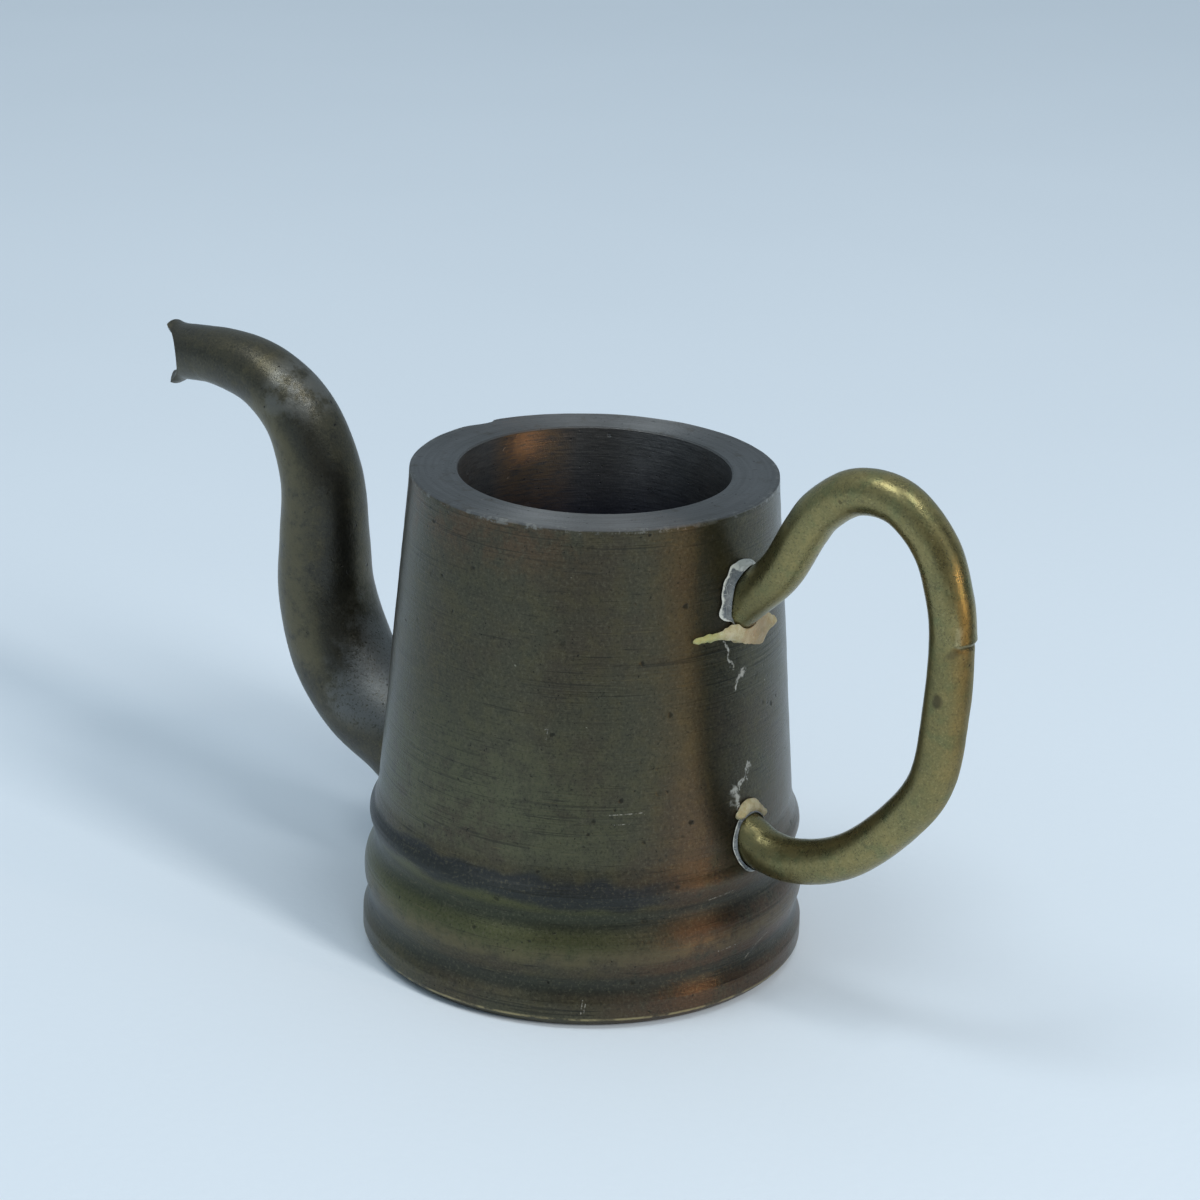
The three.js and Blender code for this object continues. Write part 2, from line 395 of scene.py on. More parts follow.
class Finish(Nodes):
    """A material, with its coordinates in millimetres in the object's own frame and its colour so far."""

    def __init__(self, name):
        super().__init__(bpy.data.materials.new(name))
        coordinates = self.add("ShaderNodeTexCoord").outputs["Object"]
        self.p = self.stretch(coordinates, (1 / MM, 1 / MM, 1 / MM))
        parts = self.add("ShaderNodeSeparateXYZ", Vector=self.p)
        self.x, self.y, self.z = (Value(self, parts.outputs[i]) for i in range(3))
        self.colour = None

    def paint(self, tint, share):
        """Lays a tint over the colour so far."""
        self.colour = self.mix(share, self.colour, tint)

    def noise(self, scale, detail=3.0, rough=0.55, vector=None, distortion=0.0):
        node = self.add(
            "ShaderNodeTexNoise",
            Vector=self.p if vector is None else vector,
            Scale=scale,
            Detail=detail,
            Roughness=rough,
            Distortion=distortion,
        )
        return Value(self, node.outputs[0])

    def bump(self, height_map, depth):
        """depth is in millimetres."""
        inputs = {"Height": height_map, "Strength": 1.0, "Distance": depth * MM}
        return self.add("ShaderNodeBump", **inputs).outputs[0]

    def pits(self, scale, size, share, seed=0.0):
        """Small round marks, some of the cells only, 1 in their middles."""
        moved = self.vector("ADD", self.p, (seed, seed * 0.7, seed * 1.3))
        soft = self.add("ShaderNodeTexNoise", Vector=moved, Scale=2.5, Detail=2.0).outputs[1]
        wobbled = self.vector("ADD", moved, self.stretch(soft, (0.35, 0.35, 0.35)))
        cells = self.add("ShaderNodeTexVoronoi", Vector=wobbled, Scale=scale)
        pick = Value(self, self.add("ShaderNodeSeparateXYZ", Vector=cells.outputs[1]).outputs[0])
        spread = (pick * (1.1 / share) + 0.45) * (size * scale)
        near = self.math("DIVIDE", cells.outputs[0], spread)
        return self.step(near, 1.0, 0.45) * self.step(pick, share, share * 0.6)

    def stroke(self, u, v, start, end, width):
        """1 along a straight thin mark in the plane (u, v), fading out at its edges."""
        (u0, v0), (u1, v1) = start, end
        du, dv = u1 - u0, v1 - v0
        long = du * du + dv * dv
        pu, pv = u - u0, v - v0
        along = pu * (du / long) + pv * (dv / long)
        along = self.math("MINIMUM", self.math("MAXIMUM", along, 0.0), 1.0)
        pu, pv = pu - along * du, pv - along * dv
        away = self.math("SQRT", pu * pu + pv * pv)
        return self.step(away, width, width * 0.3)

    def finish(self, **inputs):
        shader = self.add("ShaderNodeBsdfPrincipled", Base_Color=self.colour, **inputs)
        self.add("ShaderNodeOutputMaterial", Surface=shader.outputs[0])
        return self.owner


def turned_brass():
    n = Finish("turned_brass_patina")
    x, y, z = n.x, n.y, n.z
    radius = n.math("SQRT", x * x + y * y)
    large = n.noise(0.16, 3.0, 0.6)
    medium = n.noise(0.9, 4.0, 0.65)
    fine = n.noise(6.0, 3.0, 0.7)
    lines = n.noise(1.0, 4.0, 0.75, vector=n.stretch(n.p, (0.22, 0.22, 9.0)))
    grooves = n.noise(1.0, 2.0, 0.5, vector=n.stretch(n.p, (0.14, 0.14, 6.5)))
    hairs = n.noise(1.0, 2.0, 0.6, vector=n.stretch(n.p, (0.5, 0.5, 26.0)))
    zones = n.noise(1.0, 2.0, 0.5, vector=n.stretch(n.p, (0.05, 0.05, 0.45)))
    marked = n.step(zones, 0.44, 0.6)
    dark_pits = n.pits(0.95, 0.16, 0.55)
    small_pits = n.pits(2.3, 0.065, 0.75, 11.0)
    specks = n.pits(0.8, 0.055, 0.22, 23.0)

    # Directions round the cup: towards the front right, and towards the left.
    right = x * 0.99 + y * 0.12
    left = x * -0.25 + y * -0.97

    olive, brown = (0.084, 0.08, 0.054), (0.085, 0.072, 0.05)
    n.colour = n.mix(n.step(large, 0.38, 0.62), olive, brown)
    n.paint((0.12, 0.105, 0.056), n.step(medium, 0.42, 0.7) * 0.45)
    # The right side and the foot have gone a redder brown.
    red = n.step(right, 6.5, 10.8) * n.step(z, 14.0, 4.0)
    red = red * n.step(medium, 0.25, 0.55)
    n.paint((0.112, 0.066, 0.044), red * 0.75)
    under_rim = n.step(z, 24.0, 26.5) * n.step(left, 5.0, 8.5) * n.step(medium, 0.4, 0.6)
    n.paint((0.13, 0.075, 0.048), under_rim * 0.5)
    low_left = n.step(left, 2.0, 9.0) * n.window(z, 8.5, 10.0, 12.0, 19.0) * n.step(medium, 0.3, 0.6)
    n.paint((0.125, 0.128, 0.076), low_left * 0.7)
    # Green tarnish on the mouldings at the left and the front.
    wave = n.noise(0.33, 1.0, 0.4)
    band = z + (wave - 0.5) * 1.7 + (medium - 0.5) * 0.35
    green = n.window(band, 3.4, 4.8, 7.4, 8.6) * n.step(left, 1.0, 8.0)
    n.paint((0.112, 0.118, 0.052), green * 0.75)
    # A dark, slightly rougher band in the corner where the wall meets the mouldings.
    corner_band = n.window(band, 6.7, 7.3, 8.2, 8.7) * n.step(left, 0.5, 5.0)
    n.paint((0.04, 0.044, 0.05), corner_band * 0.85)
    # Painted shade in the two grooves of the mouldings.
    groove_shade = n.window(z, 5.2, 5.9, 6.3, 6.9)
    groove_shade = groove_shade + n.window(z, 1.7, 2.2, 2.6, 3.1)
    n.paint((0.044, 0.05, 0.042), groove_shade * 0.7)
    n.paint((0.15, 0.138, 0.092), n.step(fine, 0.52, 0.7) * 0.55)
    n.paint((0.04, 0.04, 0.032), n.step(fine, 0.48, 0.32) * 0.6)
    # Turning marks, and the tops of the beads painted paler: partly rubbed wear, partly a painted highlight.
    n.paint((0.165, 0.14, 0.078), n.step(lines, 0.62, 0.76))
    n.paint((0.036, 0.035, 0.028), n.step(lines, 0.42, 0.3) * 0.75)
    scored = n.step(grooves, 0.6, 0.65) * marked
    n.paint((0.036, 0.036, 0.03), scored * 0.55)
    rubbed_and_highlight = n.window(z, 3.4, 3.9, 4.3, 5.0) * n.step(medium, 0.35, 0.6)
    n.paint((0.17, 0.14, 0.08), rubbed_and_highlight * 0.5)
    # The worn edge of the foot's chamfer.
    worn = n.window(z, 0.4, 0.5, 0.56, 0.66) * n.step(medium, 0.36, 0.56)
    n.paint((0.46, 0.38, 0.2), worn * 0.8)
    n.paint((0.034, 0.034, 0.028), dark_pits * 0.75)
    n.paint((0.028, 0.027, 0.022), small_pits * 0.75)
    n.paint((0.42, 0.4, 0.3), specks * 0.8)

    # Whitish smears of glue on the wall between the handle's two ends, and a few pale scratches.
    ragged = n.step(n.noise(3.5, 3.0, 0.7), 0.34, 0.58)
    sway = n.noise(1.4, 2.0, 0.6)
    drift = n.noise(1.9, 2.0, 0.6, distortion=1.0)
    wy = y + (sway - 0.5) * 1.3
    wz = z + (drift - 0.5)
    smear = 0.0
    for start, end, width in (
        ((-0.35, 18.9), (-0.8, 18.4), 0.26),
        ((-0.8, 18.4), (-1.05, 17.9), 0.15),
        ((-1.55, 21.0), (-1.2, 19.4), 0.13),
        ((-0.8, 12.5), (-0.4, 13.4), 0.13),
        ((-0.4, 13.4), (0.05, 13.6), 0.2),
        ((0.05, 13.6), (-0.3, 12.7), 0.11),
        ((-1.25, 12.3), (-1.0, 11.2), 0.36),
    ):
        smear = n.math("MAXIMUM", smear, n.stroke(wy, wz, start, end, width))
    smear = smear * ragged * n.step(x, 6.0, 8.0)
    n.paint((0.42, 0.42, 0.38), smear * 0.85)
    scratch = 0.0
    for turn, marks in (
        (-50, (((-0.1, 0.9), (-0.02, 1.7), 0.05), ((0.06, 1.0), (0.13, 1.5), 0.04))),
        (1, (((-0.9, 2.3), (0.1, 2.9), 0.05), ((0.1, 2.9), (0.9, 3.35), 0.05))),
        (-62, (((-0.05, 16.2), (0.04, 16.8), 0.04), ((0.04, 16.8), (-0.18, 16.7), 0.04))),
        (-38, (((-1.4, 12.15), (0.5, 12.2), 0.04), ((-1.0, 11.6), (-0.2, 11.62), 0.035))),
        (-12, (((-0.8, 6.6), (0.9, 6.7), 0.05), ((-0.4, 3.6), (0.8, 3.66), 0.05))),
    ):
        c, d = math.cos(math.radians(turn)), math.sin(math.radians(turn))
        round_it = x * -d + y * c
        facing = n.step(x * c + y * d, 7.0, 8.5)
        for start, end, width in marks:
            scratch = n.math("MAXIMUM", scratch, n.stroke(round_it, z, start, end, width) * facing)
    scratch = scratch * n.step(n.noise(7.0, 2.0, 0.6), 0.44, 0.58)
    n.paint((0.38, 0.36, 0.3), scratch * 0.65)

    # The sawn and faced rim, grey and dull, and the bore, with a painted coppery highlight at its back left
    # and painted shade that darkens it below its mouth.
    rim = n.step(z, 27.55, 27.66) * n.step(radius, 7.3, 7.5)
    parts = {"X": radius * 5.0, "Y": x * 0.2, "Z": y * 0.2}
    faced = n.noise(1.0, 3.0, 0.6, vector=n.add("ShaderNodeCombineXYZ", **parts).outputs[0])
    rim_colour = n.mix(n.step(faced, 0.3, 0.7), (0.16, 0.163, 0.162), (0.2, 0.203, 0.203))
    rim_colour = n.mix(n.step(medium, 0.56, 0.72) * 0.5, rim_colour, (0.11, 0.098, 0.075))
    rim_colour = n.mix(small_pits, rim_colour, (0.05, 0.05, 0.05))
    n.paint(rim_colour, rim)
    inside = n.step(radius, 7.62, 7.56) * n.step(z, 2.5, 2.9)
    inside = inside * n.math("SUBTRACT", 1.0, rim)
    nicked = n.step(z, 27.4, 27.52) * n.step(radius, 9.8, 9.95)
    nicked = nicked * n.step(n.noise(1.1, 4.0, 0.8), 0.5, 0.6)
    n.paint((0.3, 0.3, 0.28), nicked * 0.6)
    bore_lines = n.noise(1.0, 4.0, 0.8, vector=n.stretch(n.p, (1.0, 1.0, 9.0)))
    bore_colour = n.mix(n.step(bore_lines, 0.3, 0.72), (0.16, 0.162, 0.166), (0.3, 0.296, 0.29))
    # A painted coppery highlight on the bore's back left wall, where the warm lamp reflects.
    coppery_highlight = n.step(x * -0.93 + y * 0.36, 6.85, 7.45)
    coppery_highlight = coppery_highlight * n.step(bore_lines, 0.3, 0.6)
    bore_colour = n.mix(coppery_highlight * 0.8, bore_colour, (0.42, 0.27, 0.15))
    # Painted shade: the bore turns blue-black towards its depths.
    bore_colour = n.mix(n.step(z, 26.8, 20.5), bore_colour, (0.022, 0.028, 0.062))
    bore_colour = n.mix(small_pits * 0.7, bore_colour, (0.03, 0.03, 0.03))
    n.paint(bore_colour, inside)

    rough = 0.19 + medium * 0.12 + fine * 0.12 + corner_band * 0.08
    rough = rough + dark_pits * 0.25 + smear * 0.2 + rim * 0.26
    grooved = grooves * (0.4 + marked) * (1.0 + inside * -0.8)
    surface = lines * 0.7 + grooved + hairs * 0.3 + fine * 0.75
    surface = surface + dark_pits * -1.2 + small_pits * -0.7 + smear * 0.2
    surface = surface + scratch * -0.3 + rim * faced * 0.35 + rim * fine * 0.5
    tangent = n.add("ShaderNodeTangent", {"direction_type": "RADIAL", "axis": "Z"})
    return n.finish(
        Metallic=0.9 + smear * -0.7 + scratch * -0.6, Roughness=rough, Anisotropic=0.92,
        Anisotropic_Rotation=0.25, Tangent=tangent.outputs[0], Normal=n.bump(surface, 0.022),
    )


def spout_brass():
    n = Finish("spout_brass_patina")
    large = n.noise(0.22, 3.0, 0.6)
    medium = n.noise(1.1, 4.0, 0.65)
    fine = n.noise(7.0, 3.0, 0.7)
    marks = n.pits(1.1, 0.13, 0.35, 5.0)
    small = n.pits(2.6, 0.06, 0.4, 17.0)
    n.colour = n.mix(n.step(large, 0.36, 0.64), (0.092, 0.084, 0.058), (0.072, 0.068, 0.054))
    n.paint((0.135, 0.116, 0.068), n.step(medium, 0.45, 0.72) * 0.5)
    n.paint((0.052, 0.05, 0.042), n.step(medium, 0.45, 0.28) * 0.5)
    n.paint((0.15, 0.132, 0.084), n.step(fine, 0.53, 0.7) * 0.5)
    n.paint((0.036, 0.035, 0.03), n.step(fine, 0.47, 0.32) * 0.55)
    # The outer side of the bends is yellower, rubbed by handling.
    outward = n.step(n.x, -15.0, -24.0) * n.step(n.z, 27.0, 20.0)
    n.paint((0.125, 0.11, 0.068), outward * n.step(medium, 0.3, 0.6) * 0.25)
    # Dull grey where solder has wetted the root.
    edge = n.x + (medium - 0.5) * 4.0
    grey = n.step(edge, -17.6, -15.8) * n.step(n.z, 8.5, 10.0) * n.step(fine, 0.3, 0.5)
    n.paint((0.165, 0.172, 0.17), grey * 0.85)
    # Seen from the front: a painted dark reflection along the middle, tan along its outer side, and a paler
    # patch on the upper bend, partly greyer metal and partly a painted highlight.
    path_x, path_z = spout.at(np.linspace(0, mouth, 120))[:2]
    rising = slice(0, int(np.argmax(path_z)))
    across = n.x * 0.777 + n.y * 0.629
    front = n.step(n.y, 1.2, -0.4)
    dark_reflection, tan = 0.0, 0.0
    levels = (26.0, 23.0, 19.0, 15.5, 12.5)
    middle = [0.777 * float(np.interp(level, path_z[rising], path_x[rising])) for level in levels]
    shift = (0.1, 0.8, 0.95, 0.7, 0.1)
    for i in range(4):
        start, end = (middle[i] + shift[i], levels[i]), (middle[i + 1] + shift[i + 1], levels[i + 1])
        dark_reflection = n.math("MAXIMUM", dark_reflection, n.stroke(across, n.z, start, end, 1.25))
        start, end = (middle[i] - 2.0, levels[i]), (middle[i + 1] - 2.0, levels[i + 1])
        tan = n.math("MAXIMUM", tan, n.stroke(across, n.z, start, end, 1.7))
    # The dark band down the middle is a painted reflection, on the near side only.
    dark_reflection = dark_reflection * front * n.step(medium, 0.2, 0.5)
    n.paint((0.15, 0.132, 0.082), tan * n.step(medium, 0.25, 0.55) * 0.7)
    n.paint((0.05, 0.053, 0.054), dark_reflection * 0.45)
    # The paler patch on the upper bend: partly greyer metal, partly a painted highlight of the overhead lamp.
    worn = n.window(n.x, -19.6, -20.6, -22.6, -24.2) * n.step(n.z, 25.5, 27.0)
    worn = worn * n.step(medium, 0.36, 0.6)
    n.paint((0.19, 0.19, 0.175), worn * 0.7)
    n.paint((0.03, 0.028, 0.024), marks)
    n.paint((0.034, 0.032, 0.026), small * 0.7)
    rough = 0.24 + medium * 0.18 + fine * 0.1 + grey * 0.12
    surface = medium * 0.9 + fine * 0.7 + marks * -0.9
    surface = surface + small * -0.5 + n.noise(2.6, 2.0) * 0.8
    return n.finish(Metallic=0.9, Roughness=rough, Normal=n.bump(surface, 0.022))


def rod_brass():
    n = Finish("rod_brass_tarnished")
    large = n.noise(0.25, 3.0, 0.6)
    medium = n.noise(1.3, 4.0, 0.7)
    fine = n.noise(8.0, 3.0, 0.7)
    drawn = n.noise(1.0, 3.0, 0.65, vector=n.stretch(n.p, (1.2, 9.0, 1.2)))
    marks = n.pits(0.9, 0.13, 0.3, 3.0)
    small = n.pits(2.4, 0.06, 0.45, 29.0)
    n.colour = n.mix(n.step(large, 0.35, 0.65), (0.27, 0.225, 0.095), (0.225, 0.2, 0.088))
    n.paint((0.35, 0.285, 0.115), n.step(medium, 0.46, 0.72) * 0.55)
    n.paint((0.13, 0.115, 0.06), n.step(medium, 0.44, 0.26) * 0.6)
    n.paint((0.15, 0.135, 0.07), n.step(drawn, 0.55, 0.75) * 0.35)
    green = n.step(n.noise(0.8, 3.0, 0.6), 0.5, 0.68)
    n.paint((0.165, 0.185, 0.085), green * 0.55)
    n.paint((0.4, 0.345, 0.17), n.step(fine, 0.53, 0.7) * 0.55)
    n.paint((0.11, 0.1, 0.052), n.step(fine, 0.47, 0.32) * 0.6)
    # Darker towards both joints, where fingers don't rub it.
    near = n.step(n.x, 15.5, 11.5)
    n.paint((0.13, 0.122, 0.06), near * 0.45)
    n.paint((0.06, 0.05, 0.03), marks)
    n.paint((0.085, 0.072, 0.04), small * 0.7)
    # A dark stain and, above it, the paler scrape beside the cleft.
    front = n.step(n.y, 0.2, -0.4)
    stain = n.stroke(n.x, n.z, (23.7, 20.9), (23.72, 21.2), 0.36) * front
    n.paint((0.075, 0.062, 0.036), stain * 0.8)
    pale = n.stroke(n.x, n.z, (24.55, 24.1), (24.5, 25.0), 0.22) * n.step(n.y, 0.0, -0.3)
    n.paint((0.44, 0.38, 0.21), pale * n.step(fine, 0.3, 0.6) * 0.7)
    shade = n.stroke(n.x, n.z, (24.2, 23.6), (24.9, 24.1), 0.3) * n.step(n.y, 0.6, 0.0)
    n.paint((0.09, 0.078, 0.046), shade * 0.45)
    bright = n.pits(0.8, 0.06, 0.25, 41.0)
    n.paint((0.62, 0.5, 0.2), bright * 0.7)
    rough = 0.14 + medium * 0.18 + fine * 0.12 + marks * 0.2
    rough = rough + n.step(n.z, 24.3, 23.4) * n.step(n.x, 22.0, 23.8) * 0.22
    surface = drawn * 0.7 + fine * 0.45 + medium * 0.9
    surface = surface + marks * -1.2 + small * -0.6
    return n.finish(Metallic=0.85, Roughness=rough, Normal=n.bump(surface, 0.02))


def solder_metal():
    n = Finish("solder_dull")
    medium = n.noise(1.6, 4.0, 0.7)
    fine = n.noise(9.0, 3.0, 0.7)
    n.colour = n.mix(n.step(medium, 0.35, 0.65), (0.11, 0.112, 0.105), (0.21, 0.215, 0.21))
    n.paint((0.075, 0.068, 0.05), n.step(fine, 0.5, 0.7) * 0.5)
    rough = 0.36 + medium * 0.25
    surface = medium + fine * 0.5
    return n.finish(Metallic=0.85, Roughness=rough, Normal=n.bump(surface, 0.04))


def clear_glue():
    n = Finish("clear_glue_crazed")
    medium = n.noise(2.2, 4.0, 0.7)
    cells = {"feature": "DISTANCE_TO_EDGE"}
    cracks = Value(n, n.add("ShaderNodeTexVoronoi", cells, Vector=n.p, Scale=1.5).outputs[0])
    veins = n.step(cracks + medium * 0.06, 0.06, 0.03)
    edge = Value(n, n.add("ShaderNodeAttribute", {"attribute_name": "edge"}).outputs["Fac"])
    n.colour = n.mix(n.step(medium, 0.38, 0.66), (0.085, 0.098, 0.106), (0.19, 0.205, 0.205))
    n.paint((0.46, 0.48, 0.45), veins * 0.55)
    crust = n.step(edge + (medium - 0.5) * 1.3, 0.45, 0.8)
    n.paint((0.6, 0.61, 0.55), crust * 0.85)
    rough = 0.22 + medium * 0.3
    return n.finish(
        Roughness=rough, Specular_IOR_Level=0.55, Coat_Weight=0.3, Coat_Roughness=0.15,
        Normal=n.bump(medium + veins * 0.5, 0.05),
    )


def cream_glue():
    n = Finish("cream_glue_dry")
    medium = n.noise(1.8, 4.0, 0.65)
    fine = n.noise(8.0, 3.0, 0.6)
    n.colour = n.mix(n.step(medium, 0.36, 0.64), (0.34, 0.275, 0.135), (0.45, 0.4, 0.255))
    # Yellower where the flap runs out to the left, and orange under the rod.
    tongue = n.step(n.y, -1.4, -3.0) * n.step(n.z, 19.0, 20.0)
    n.paint((0.33, 0.33, 0.115), tongue * 0.8)
    heart = n.window(n.y, -1.0, 0.4, 1.2, 2.2) * n.step(n.z, 19.0, 20.0)
    n.paint((0.43, 0.29, 0.155), heart * 0.5)
    n.paint((0.58, 0.55, 0.43), n.step(fine, 0.58, 0.74) * 0.5)
    n.paint((0.19, 0.145, 0.075), n.step(fine, 0.42, 0.28) * 0.4)
    rough = 0.48 + fine * 0.2
    return n.finish(
        Roughness=rough, Subsurface_Weight=0.08, Subsurface_Scale=0.0006,
        Normal=n.bump(medium + fine * 0.6, 0.06),
    )


# ---- The cup ----


def cut(piece, cutters):
    """Takes the cutters out of the piece and deletes them."""
    for cutter in cutters:
        change = piece.modifiers.new("cut", "BOOLEAN")
        change.operation, change.object, change.solver = "DIFFERENCE", cutter, "EXACT"
    done = bpy.data.meshes.new_from_object(piece.evaluated_get(bpy.context.evaluated_depsgraph_get()))
    piece.modifiers.clear()
    piece.data = done
    for cutter in cutters:
        bpy.data.objects.remove(cutter)
    shade(done, 35.0)


def solid_bar(line, start, stop, radius, material):
    """A cutter: a round bar that follows the line."""
    sides, step = 40, 0.4
    steps = np.linspace(start, stop, int((stop - start) / step) + 2)
    angle = turn_angles(sides)
    points = line.surface(steps[:, None], angle[None, :], radius)
    verts = points.reshape(-1, 3)
    faces = grid_faces(len(steps), sides)
    faces.append(tuple(range(sides))[::-1])
    faces.append(tuple(range(len(verts) - sides, len(verts))))
    return make_piece("cutter", verts, faces, material, None, None)


def make_cup(material):
    sides = 320
    angle = turn_angles(sides)
    ring = np.stack([np.cos(angle), np.sin(angle), 0 * angle], axis=-1)

    def turn_to(degrees):
        return (np.degrees(angle) - degrees + 180) % 360 - 180

    # The rim's outer edge: rubbed unevenly, chipped at the back left, with a burr at the front.
    edge = 0.1 + 0.07 * np.clip(ripple(ring * 3.0, 1.0, 5), -1, 1)
    edge += 0.1 * np.exp(-((turn_to(-120) / 22) ** 2))
    chip = smooth(turn_to(165.5), -1.6, -0.2) * smooth(turn_to(165.5), 13, 2)
    burr = np.exp(-((turn_to(-55.5) / 1.5) ** 2))
    dint = np.exp(-((turn_to(-75) / 2.2) ** 2)) + 0.7 * np.exp(-((turn_to(-101) / 1.6) ** 2))
    rows = []

    def row(radius, z):
        rows.append(np.stack([radius + 0 * angle, z + 0 * angle], axis=-1))

    for r in (1.2, 2.6, 4.0, 5.4, 6.8, 8.2, 9.4, 10.4, 11.2, 11.7):
        row(r, 0.0)
    for t in np.linspace(0, 1, 7):
        worn = 0.07 * np.sin(math.pi * t)
        row(11.93 + 0.57 * t + worn * 0.6, 0.56 * t**1.15 - worn * 0.3 * (1 - t))
    for z in (0.75, 1.0, 1.25):
        row(foot_radius, z)
    for r, z in mouldings:
        row(r, z)
    for z in np.linspace(moulding_top, height - 0.45, 92)[1:]:
        row(wall_radius(z), z)
    for t in np.linspace(0, math.pi / 2, 6):
        drop = edge * (1 - np.sin(t)) + 0.09 * chip * (1 - math.sin(t) * 0.35)
        inset = edge * (1 - np.cos(t)) + 0.12 * chip * math.sin(t) - 0.13 * burr * math.cos(t)
        inset = inset + 0.05 * dint
        z = height - drop - 0.06 * burr * math.cos(t) - 0.05 * dint
        row(wall_radius(height) - inset, np.minimum(z, height))
    inner = bore_radius + 0.09
    for t in np.linspace(0.1, 1.0, 12):
        start = rim_radius - edge - 0.14 * chip
        row(start * (1 - t) + inner * t, height - 0.05 * chip * max(0, 1 - t * 5))
    for t in (0.5, 1.0):
        row(inner - 0.09 * t, height - 0.09 * t)
    for z in np.linspace(height - 0.35, floor_height + 0.4, 40):
        row(bore_radius, z)
    for t in np.linspace(0, math.pi / 2, 6)[1:]:
        row(bore_radius - 0.4 * (1 - np.cos(t)), floor_height + 0.4 * (1 - np.sin(t)))
    for r in (6.2, 5.2, 4.2, 3.2, 2.2, 1.2):
        row(r, floor_height)

    rows = np.array(rows)
    radius, z = rows[..., 0], rows[..., 1]
    points = np.stack([radius * ring[:, 0], radius * ring[:, 1], z], axis=-1)
    # Barely uneven turning, and the dents of handling on the outside only.
    outer = smooth(z, 1.0, 2.2) * smooth(z, 27.6, 27.0) * (radius > 9.0)
    push = 0.018 * ripple(points, 0.16, 31) + 0.007 * ripple(points, (0.25, 0.25, 1.7), 37) - 0.03
    for degrees, level, size, depth in (
        (-62, 16.5, 0.35, 0.03),
        (-50, 1.3, 0.3, 0.045),
        (2, 2.8, 0.4, 0.04),
        (-30, 12.2, 0.5, 0.02),
        (-88, 21.0, 0.9, 0.02),
        (60, 18.0, 1.1, 0.03),
        (110, 12.0, 0.8, 0.025),
        (-140, 14.5, 0.9, 0.025),
        (40, 3.9, 0.5, 0.04),
    ):
        way = np.radians(turn_to(degrees)) * radius
        push = push - depth * np.exp(-(way**2 + (z - level) ** 2) / size**2)
    radius = radius + push * outer
    points = np.stack([radius * ring[:, 0], radius * ring[:, 1], z], axis=-1)

    verts = [*points.reshape(-1, 3), (0, 0, 0), (0, 0, floor_height)]
    faces = capped_faces(len(rows), sides)
    cup = make_piece("Cup", verts, faces, material, "body", "turned_brass")
    reach, end, wide = 6.5, handle.length, rod_radius + clearance
    sockets = [
        solid_bar(handle, -clearance, reach, wide, material),
        solid_bar(handle, end - reach, end + clearance, wide, material),
        solid_bar(spout, -2, spout_in_wall + 2, spigot_radius + clearance, material),
    ]
    cut(cup, sockets)


# ---- The spout ----


